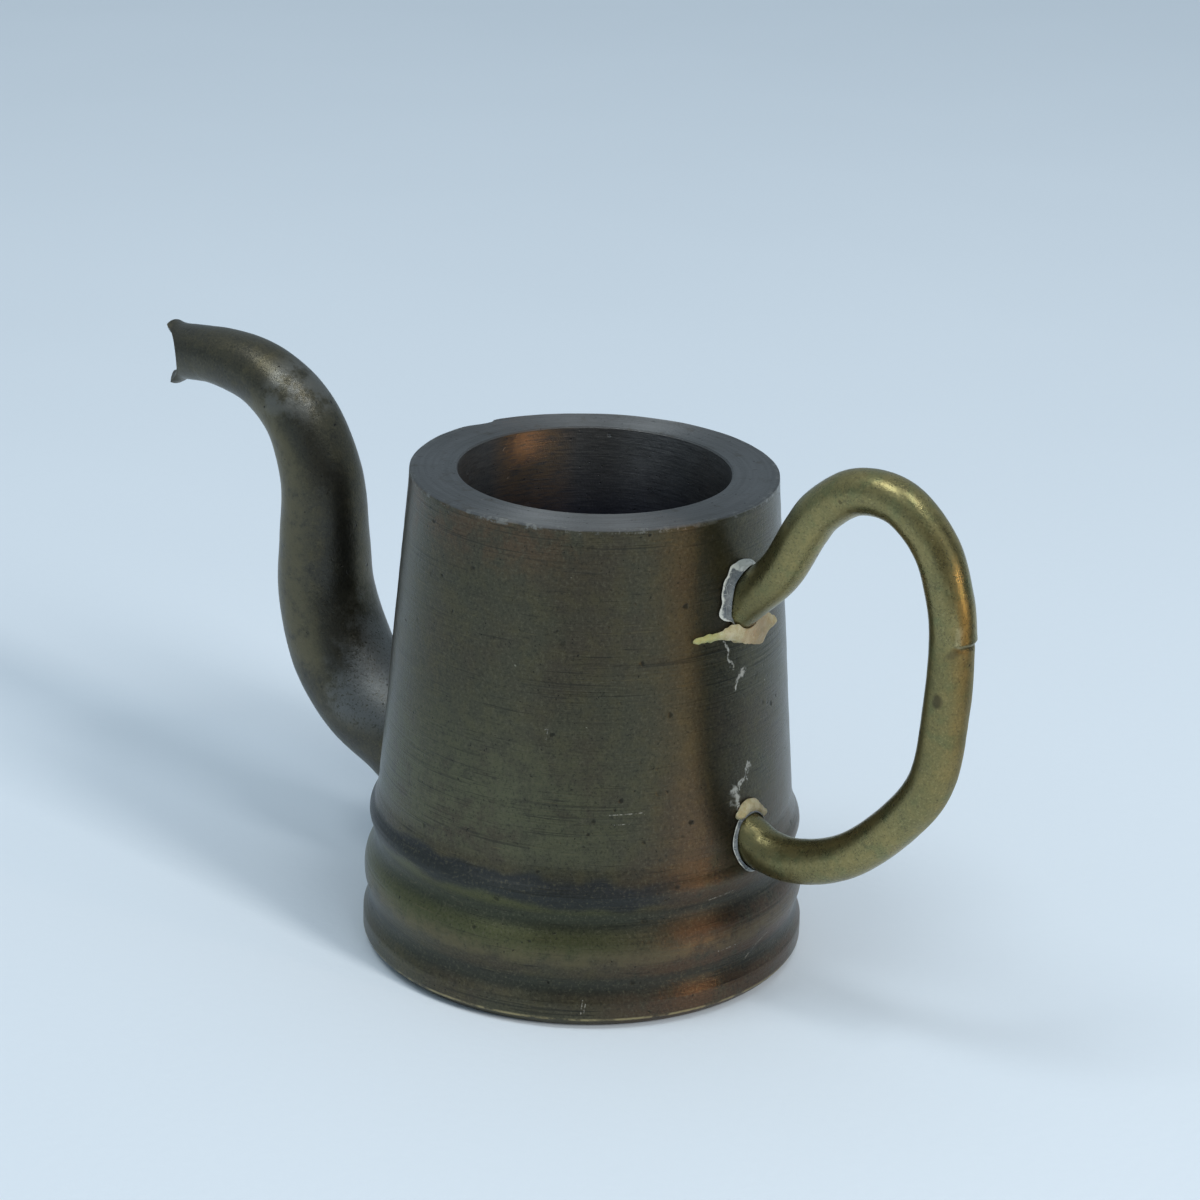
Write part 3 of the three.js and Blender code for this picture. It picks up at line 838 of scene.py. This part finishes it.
def make_spout(material):
    sides = 88
    angle = turn_angles(sides)
    level = np.cos(angle)

    # The mouth is scooped back at its sides, so that its top and bottom lips stand forward.
    half = spout_radius(mouth) - 0.22
    scooped = np.sqrt(np.clip(1 - (level * spout_radius(mouth) / half) ** 2, 0, 1))
    stop = mouth - 1.55 * scooped**1.1
    lower = smooth(-level, 0.35, 0.95)

    def outer(distance):
        flare = smooth(distance, mouth - 1.0, mouth) * lower
        return (spout_radius(distance) + 0.2 * flare, spout_width(distance) * (1 + 0.2 * flare))

    start = meets_wall(spout, angle, spout_root_radius + 0 * angle, 0.5, 12, gap)
    inner_start = meets_wall(spout, angle, spigot_radius + 0 * angle, 0.5, 12, gap)
    rings = []

    def ring(distance, radius, width=None):
        rings.append(spout.surface(distance + 0 * angle, angle, radius, width))

    for distance in (0.0, 0.05, 1.2, 2.4, 3.4):
        ring(distance, spigot_radius - (0.06 if distance == 0 else 0))
    ring(inner_start - 0.02, spigot_radius)
    for share in (0.15, 0.4, 0.7, 0.95):
        radius = spigot_radius * (1 - share) + spout_root_radius * share
        ring(inner_start * (1 - share) + start * share, radius)
    first_outer = len(rings)
    reach = np.concatenate([np.linspace(0, 0.93, 150), np.linspace(0.935, 1, 22)])
    for share in reach:
        distance = start + 0.03 + (stop - start - 0.09) * share
        radius, width = outer(distance)
        ring(distance, radius, width)
    last_outer = len(rings)

    def wall(distance):
        thin = spout_wall - 0.17 * smooth(distance, mouth - 2.2, mouth - 0.2) * (1 - level**4)
        lips = 0.2 * lower + 0.1 * smooth(level, 0.35, 0.95)
        return thin + lips * smooth(distance, mouth - 1.0, mouth - 0.1)

    for turn in (0.25, 0.5, 0.75):
        radius, width = outer(stop)
        thick = wall(stop)
        inset = thick * (0.5 - 0.5 * math.cos(math.pi * turn))
        ring(stop - 0.09 + 0.09 * math.sin(math.pi * turn), radius - inset, width - inset)
    deep = spout_in_wall + 1.0
    for share in np.linspace(0, 1, 90):
        distance = (stop - 0.09) * (1 - share) + (deep + 0.3) * share
        radius, width = outer(distance)
        ring(distance, radius - wall(distance), width - wall(distance))
    narrow = spigot_radius - spout_wall
    for distance, radius in ((deep, narrow + 0.1), (deep - 0.3, narrow), (2.0, narrow), (0.0, narrow + 0.05)):
        ring(distance, radius)

    points = np.array(rings)
    # Bends have left the tube a little flat and uneven: shallow dents, on the outside only.
    along = np.linspace(0, 1, last_outer - first_outer)[:, None]
    shell = points[first_outer:last_outer]
    centre = shell.mean(axis=1, keepdims=True)
    away = shell - centre
    away = away / np.linalg.norm(away, axis=-1, keepdims=True)
    push = 0.03 * ripple(shell, 0.22, 71, 2) + 0.007 * ripple(shell, 1.1, 77, 2)
    for place, turn, long, wide, depth in (
        (0.62, 1.9, 0.05, 0.5, 0.1),
        (0.36, 2.3, 0.05, 0.6, 0.09),
        (0.2, 0.9, 0.05, 0.6, 0.1),
        (0.47, 5.0, 0.06, 0.5, 0.08),
        (0.75, 4.4, 0.04, 0.5, 0.07),
    ):
        swing = (angle - turn + math.pi) % (2 * math.pi) - math.pi
        push = push - depth * np.exp(-(((along - place) / long) ** 2) - (swing / wide) ** 2)
    calm = smooth(along, 0.0, 0.05) * smooth(along, 1.0, 0.93)
    points[first_outer:last_outer] = shell + away * (push * calm)[..., None]
    faces = grid_faces(len(rings), sides, close_rows=True)
    make_piece("Spout", points.reshape(-1, 3), faces, material, "spout", "spout_brass", 50)


def make_fillet(name, line, between, radius, run_out, climb, lumps, seed, hump, sunk, *kind):
    """A bead of solder or glue in the corner between a tube and the cup's wall. between is a distance inside
    the wall and one outside it. At each angle, run_out and climb give the bead's width on the wall and its
    height up the tube, and sunk how deep it starts in the tube. kind is its material, node and a slot that is
    not used."""
    sides = 132
    angle = turn_angles(sides)
    low, high = between
    way = 1.0 if high > low else -1.0
    wide, tall = run_out(angle), climb(angle)
    skin = radius + 0.03 - sunk(angle)
    corner_at = meets_wall(line, angle, skin, low, high, 0.03)
    corner = line.surface(corner_at, angle, skin)
    top = line.surface(corner_at + way * tall, angle, skin)
    foot_at = meets_wall(line, angle, skin + wide, low, high, 0.03)
    foot = line.surface(foot_at, angle, skin + wide)
    outward = (top + foot) / 2 - corner
    outward = outward / np.linalg.norm(outward, axis=-1, keepdims=True)
    knee = corner + outward * (hump * np.minimum(wide, tall))[:, None]
    rings = []
    shares = np.linspace(0, 1, 13)
    for share in shares:
        point = (1 - share) ** 2 * top + 2 * share * (1 - share) * knee + share**2 * foot
        swell = lumps * math.sin(math.pi * min(1.0, share * 0.9 + 0.08))
        point = point + outward * (swell * (0.4 + ripple(point, 1.5, seed, 2)))[:, None]
        rings.append(point + outward * 0.05)
    rings += [foot + outward * 0.004, (foot + corner) / 2, corner, (top + corner) / 2, top + outward * 0.004]
    points = np.array(rings)
    # Whiter towards the edge on the wall and, where it stands highest, all over.
    shares = np.concatenate([shares, [1, 1, 0.5, 0, 0]])
    edge = np.clip(shares[:, None] ** 3 + smooth(tall, 0.45, 0.6), 0, 1)
    order = grid_faces(len(rings), sides, close_rows=True)
    if way < 0:
        order = [face[::-1] for face in order]
    piece = make_piece(name, points.reshape(-1, 3), order, *kind, 60)
    mark = piece.data.attributes.new("edge", "FLOAT", "POINT")
    mark.data.foreach_set("value", edge.ravel().astype(np.float32))
    return piece


def not_sunk(angle):
    return 0 * angle


def make_solder(material):
    def wide(angle):
        return 0.62 + 0.16 * np.sin(angle + 0.6) * np.sin(2 * angle) + 0.08 * np.cos(5 * angle)

    def tall(angle):
        return 0.62 + 0.2 * np.sin(angle * 2 + 1.0) + 0.08 * np.cos(7 * angle)

    make_fillet(
        "Spout_solder", spout, (0.5, 12), spout_root_radius + 0.02, wide, tall, 0.06, 91, 0.35, not_sunk,
        material, "spout_solder", "solder",
    )


# ---- The handle ----


def make_handle(material):
    sides = 56
    count = 420
    distance = np.linspace(0, handle.length, count)
    angle = turn_angles(sides)
    radius = np.full((count, sides), rod_radius - 0.03)
    flat = handle.surface(distance[:, None], angle[None, :], rod_radius)
    radius += 0.012 * ripple(flat, 0.25, 51, 2) + 0.005 * ripple(flat, 1.6, 57, 2)
    # A step and a cleft where the rod was nipped, on the outside of the loop, and a few dents.
    x, z = flat[..., 0], flat[..., 2]
    outward = (x - handle.at(distance)[0][:, None]) / rod_radius
    far = x > 18
    step = smooth(z, 24.15, 23.98) * smooth(z, 20.6, 23.6) * far
    radius -= 0.1 * step * smooth(outward, 0.15, 0.85)
    lip = np.exp(-(((z - 24.22) / 0.16) ** 2)) * far
    radius += 0.02 * lip * smooth(outward, 0.3, 0.9)
    cleft = np.exp(-(((z - 23.95 - 0.25 * (1 - outward)) / 0.11) ** 2)) * far
    radius -= 0.09 * cleft * smooth(outward, 0.2, 0.8)
    scrape = np.exp(-(((z - 24.9) / 0.55) ** 2) - (((outward - 0.62) / 0.16) ** 2)) * far
    radius -= 0.05 * scrape
    for level, side, size, depth in (
        (21.0, 0.35, 0.22, 0.06),
        (28.6, -0.2, 0.5, 0.03),
        (13.4, 0.7, 0.45, 0.04),
        (17.2, 0.9, 0.5, 0.03),
    ):
        spot = ((z - level) / size) ** 2 + ((outward - side) / (size * 0.8)) ** 2
        radius -= depth * np.exp(-spot) * far * smooth(np.sin(angle)[None, :], 0.1, -0.3)
    # Sawn ends, their edges just broken.
    end = np.minimum(distance, handle.length - distance)
    radius -= (0.12 * smooth(end, 0.16, 0.0))[:, None]
    points = handle.surface(distance[:, None], angle[None, :], radius)
    caps = [handle.surface(d, 0.0, 0.0) for d in (0.0, handle.length)]
    verts = np.vstack([points.reshape(-1, 3), caps])
    faces = capped_faces(count, sides)
    make_piece("Handle_rod", verts, faces, material, "handle", "rod_brass", 38)


# ---- Glue at the handle's two ends ----


def make_rings(material):
    # At the handle's upper end angle 0 is underneath, so these two turn it to the top.
    def upper_wide(angle):
        angle = math.pi - angle
        left = smooth(-np.sin(angle + 0.15), -0.3, 0.7)
        below = smooth(-np.cos(angle), 0.0, 0.5)
        ragged = 0.06 * np.sin(6 * angle) + 0.05 * np.sin(11 * angle + 1) + 0.03 * np.sin(19 * angle)
        lump = 0.38 * smooth(np.cos(angle - 0.3), 0.4, 1.0)
        return (0.1 + (0.56 + ragged) * left + lump) * (1 - 0.9 * below)

    def upper_tall(angle):
        angle = math.pi - angle
        top = smooth(np.cos(angle - 0.2), 0.45, 0.95)
        left = smooth(-np.sin(angle), 0.0, 1.0) * smooth(-np.cos(angle), 0.6, 0.0)
        below = smooth(-np.cos(angle), 0.0, 0.5)
        return (0.08 + 0.16 * left + 0.56 * top + 0.03 * np.sin(5 * angle + 1)) * (1 - 0.6 * below)

    def upper_sunk(angle):
        return 0.16 * smooth(np.cos(angle), 0.2, 0.7)

    def lower_wide(angle):
        left = smooth(-np.sin(angle), -0.3, 0.9)
        return 0.07 + 0.13 * left + 0.02 * np.sin(7 * angle)

    def lower_tall(angle):
        return 0.11 + 0.03 * np.sin(4 * angle + 2) - 0.05 * smooth(np.cos(angle), 0.5, 0.9)

    end = handle.length
    make_fillet(
        "Glue_ring_upper", handle, (0.3, 9.0), rod_radius, upper_wide, upper_tall, 0.07, 101, 0.3,
        upper_sunk, material, "upper_glue_ring", "clear_glue",
    )
    make_fillet(
        "Glue_ring_lower", handle, (end - 0.3, end - 9.0), rod_radius, lower_wide, lower_tall, 0.02, 111,
        0.3, not_sunk, material, "lower_glue_ring", "clear_glue",
    )


def make_patch(name, outline_points, hole, thickness, seed, lift, material, node):
    """A crust of glue on the wall. The outline is [y, z] points, kept out of the hole, an ellipse with this
    centre and these half sizes. lift raises it off the wall."""
    p = np.array(outline_points, float)
    for _ in range(3):
        follow = np.roll(p, -1, axis=0)
        p = np.stack([0.75 * p + 0.25 * follow, 0.25 * p + 0.75 * follow], axis=1).reshape(-1, 2)
    closed = np.vstack([p, p[:1]])
    run = np.concatenate([[0], np.cumsum(np.linalg.norm(np.diff(closed, axis=0), axis=1))])
    count = int(run[-1] / 0.09)
    where = np.linspace(0, run[-1], count, endpoint=False)
    rim = np.stack([np.interp(where, run, closed[:, i]) for i in range(2)], axis=-1)
    wave = lattice(np.column_stack([rim * 2.2, np.zeros(count)]), seed)
    wave = wave + 0.6 * lattice(np.column_stack([rim * 5.5, np.ones(count)]), seed + 1)
    normal = np.roll(rim, -1, axis=0) - np.roll(rim, 1, axis=0)
    normal = np.stack([normal[:, 1], -normal[:, 0]], axis=-1)
    normal /= np.linalg.norm(normal, axis=1)[:, None]
    rim = rim + normal * (0.07 * wave)[:, None]
    centre, half = np.array(hole[:2]), np.array(hole[2:])
    away = np.linalg.norm((rim - centre) / half, axis=1)
    inside = away < 1
    rim[inside] = centre + (rim[inside] - centre) / away[inside][:, None]

    step = 0.1
    across, up = (np.arange(rim[:, i].min(), rim[:, i].max(), step) for i in range(2))
    grid = np.stack(np.meshgrid(across, up), axis=-1).reshape(-1, 2)
    a, b = rim, np.roll(rim, -1, axis=0)

    def to_rim(q):
        along = np.clip(((q[:, None] - a) * (b - a)).sum(-1) / ((b - a) ** 2).sum(-1), 0, 1)
        return np.linalg.norm(q[:, None] - (a + along[..., None] * (b - a)), axis=-1).min(1)

    crosses = (a[:, 1] > grid[:, None, 1]) != (b[:, 1] > grid[:, None, 1])
    with np.errstate(divide="ignore", invalid="ignore"):
        meet = a[:, 0] + (grid[:, None, 1] - a[:, 1]) / (b[:, 1] - a[:, 1]) * (b[:, 0] - a[:, 0])
    within = (crosses & (grid[:, None, 0] < meet)).sum(1) % 2 == 1
    grid = grid[within & (to_rim(grid) > 0.07)]
    flat = [Vector(q) for q in np.vstack([rim, grid])]
    edges = [(i, (i + 1) % count) for i in range(count)]
    found, _, triangles, *_ = delaunay_2d_cdt(flat, edges, [], 1, 1e-6)
    flat = np.array([tuple(q) for q in found])
    depth = to_rim(flat)
    solid3 = np.column_stack([flat, np.zeros(len(flat))])
    crown = thickness * (1 - np.exp(-depth / 0.22))
    crown = crown * (0.8 + 0.35 * ripple(solid3, 1.5, seed + 5, 3)) + 0.05
    raised = lift(flat)
    sheets = []
    for proud in (crown + raised + 0.03, 0.03 + raised * 0.9):
        reach = outside_radius(flat[:, 1]) + proud
        sheets.append(np.column_stack([np.sqrt(reach**2 - flat[:, 0] ** 2), flat[:, 0], flat[:, 1]]))
    total = len(flat)
    use = {}
    faces = []
    for t in triangles:
        t = tuple(t)
        (y0, z0), (y1, z1), (y2, z2) = flat[list(t)]
        if (y1 - y0) * (z2 - z0) - (y2 - y0) * (z1 - z0) < 0:
            t = t[::-1]
        faces.append(t)
        faces.append(tuple(i + total for i in t[::-1]))
        for i, j in zip(t, (*t[1:], t[0])):
            use[(i, j)] = use.get((i, j), 0) + 1
    for i, j in use:
        if (j, i) not in use:
            faces.append((j, i, i + total, j + total))
    make_piece(name, np.vstack(sheets), faces, material, node, "cream_glue", 50)


def no_lift(q):
    return 0.0 * q[:, 0]


def make_cream(material):
    level = upper_joint - rod_radius
    shape = (
        (-3.95, -0.18), (-3.2, -0.36), (-2.4, -0.32), (-1.6, -0.48), (-0.8, -0.82), (0.0, -1.08),
        (0.8, -1.34), (1.45, -1.5), (1.9, -1.05), (2.3, -0.75), (3.0, -0.6), (2.2, 0.05), (1.3, 0.5),
        (0.0, 0.4), (-1.1, 0.35), (-1.7, 0.12), (-2.5, 0.02), (-3.4, 0.06),
    )
    middle, half_wide, half_tall = upper_joint + 0.22, 1.3, 1.62

    def lift(q):
        """Its right corner and the tip of its tongue lift, and it climbs a little way up the rod."""
        y, z = q[:, 0], q[:, 1]
        from_rod = np.hypot(y / half_wide, (z - middle) / half_tall) - 1
        corners = 0.22 * smooth(y, 1.2, 2.6) + 0.08 * smooth(y, -3.2, -4.0)
        return corners + 0.25 * np.exp(-from_rod / 0.25) * smooth(y, -1.6, -0.8)

    make_patch(
        "Glue_flap_upper", [[y, level + rise] for y, rise in shape], (0.0, middle, half_wide, half_tall),
        0.24, 121, lift, material, "upper_glue_flap",
    )
    level = lower_joint + rod_radius
    shape = (
        (-1.45, 0.12), (0.0, -0.2), (1.7, -0.45), (1.1, 0.25), (0.62, 0.72), (0.15, 1.02), (-0.4, 1.08),
        (-0.95, 0.8),
    )
    make_patch(
        "Glue_lump_lower", [[y, level + rise] for y, rise in shape], (-0.05, lower_joint + 0.03, 1.46, 1.45),
        0.36, 131, no_lift, material, "lower_glue_lump",
    )


make_cup(turned_brass())
make_spout(spout_brass())
make_solder(solder_metal())
make_handle(rod_brass())
make_rings(clear_glue())
make_cream(cream_glue())

# ---- Floor and light ----


def add_panel(name, corners, material):
    """A flat four-cornered part of the studio, not of the object."""
    mesh = bpy.data.meshes.new(name)
    mesh.from_pydata(corners, [], [(0, 1, 2, 3)])
    mesh.materials.append(material)
    panel = add_object(name, mesh)
    return panel


def add_floor():
    n = Finish("pale_floor")
    n.colour = n.mix(n.noise(0.02, 2.0), (0.69, 0.765, 0.835), (0.73, 0.805, 0.875))
    material = n.finish(Roughness=0.75, Normal=n.bump(n.noise(1.5, 3.0), 0.02))
    half = 1.2
    corners = [(-half, -half, 0), (half, -half, 0), (half, half, 0), (-half, half, 0)]
    floor = add_panel("Floor", corners, material)
    floor.location.z = -0.00002


def add_light(name, azimuth, elevation, distance, size, power, colour, shiny=True):
    data = bpy.data.lights.new(name, "AREA")
    data.shape, data.size, data.size_y = "RECTANGLE", size[0], size[1]
    data.energy, data.color = power, colour
    light = add_object(name, data)
    place = direction(azimuth, elevation)
    light.visible_glossy = shiny
    light.location = Vector((0, 0, 0.012)) + place * distance
    light.rotation_euler = place.to_track_quat("Z", "Y").to_euler()


def add_world():
    world = bpy.data.worlds.new("Studio")
    bpy.context.scene.world = world
    n = Nodes(world)
    ways = n.add("ShaderNodeSeparateXYZ", Vector=n.add("ShaderNodeTexCoord").outputs["Generated"])
    sky = n.mix(n.step(ways.outputs[2], 0.0, 0.9), (0.5, 0.62, 0.72), (0.66, 0.78, 0.88))
    glow = n.add("ShaderNodeBackground", Color=sky, Strength=0.61)
    n.add("ShaderNodeOutputWorld", Surface=glow.outputs[0])


def add_card(name, azimuth, distance, wide, low, tall, colour):
    """An upright card that only reflections see. It stands in for a part of the room."""
    ahead, side = direction(azimuth), direction(azimuth + 90.0)
    corners = [
        ahead * distance + side * (wide / 2 * s) + Vector((0, 0, z))
        for s, z in ((-1, low), (1, low), (1, low + tall), (-1, low + tall))
    ]
    n = Nodes(bpy.data.materials.new(name))
    glow = n.add("ShaderNodeEmission", Color=colour)
    n.add("ShaderNodeOutputMaterial", Surface=glow.outputs[0])
    card = add_panel(name, corners, n.owner)
    for kind in ("camera", "diffuse", "transmission", "volume_scatter", "shadow"):
        setattr(card, "visible_" + kind, False)


add_floor()
add_light("Key", -6, 34, 0.55, (0.08, 0.22), 1.5, (1.0, 0.97, 0.93), shiny=False)
add_light("Overhead", -12, 73, 0.45, (0.08, 0.08), 0.23, (0.98, 0.99, 1.0))
add_light("Glow", 9, 9.5, 0.35, (0.03, 0.03), 0.11, (1.0, 0.62, 0.32))
add_light("Fill", -123, 67, 0.5, (0.16, 0.16), 0.5, (0.93, 0.98, 1.0))
add_card("Card_front", -51, 0.45, 0.5, 0.0, 0.42, (0.11, 0.115, 0.105))
add_card("Card_side", 23.5, 0.0464, 0.018, 0.0, 0.06, (0.018, 0.045, 0.075))
add_card("Card_warm", -1, 0.046, 0.022, 0.01, 0.02, (0.56, 0.38, 0.22))
add_world()
bpy.context.scene.view_settings.view_transform = "Standard"
